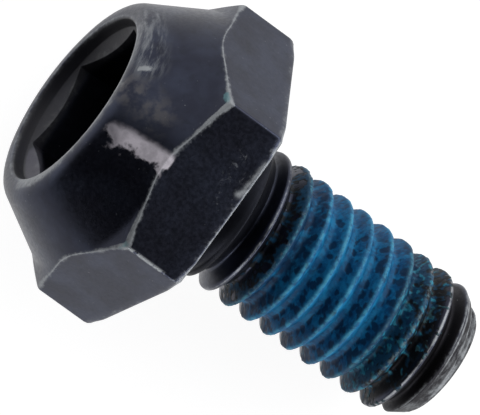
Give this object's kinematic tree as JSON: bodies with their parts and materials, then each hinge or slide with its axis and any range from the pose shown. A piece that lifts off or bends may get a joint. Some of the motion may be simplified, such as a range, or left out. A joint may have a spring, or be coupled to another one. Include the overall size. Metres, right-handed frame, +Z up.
{
  "type": "mounting screw",
  "caption": "Short black steel mounting screw with a hexagon head that narrows to a round crown, a hexagon socket and a patch of blue thread-locking coating.",
  "frame": {"origin": "centre of the bearing face under the head", "axes": "the screw lies on a flat of its head and the crest by its tip: +X level, from the head towards the tip; +Y level, to the side; +Z up"},
  "size_m": [0.019, 0.0132, 0.012],
  "materials": {
    "black_steel": "black oxide, semi-matt, worn bright on its edges",
    "thread_lock_coating": "dried coating, mottled and pitted"
  },
  "bodies": {
    "root": {"screw": "black_steel", "thread_lock_patch": "thread_lock_coating"}
  },
  "joints": []
}
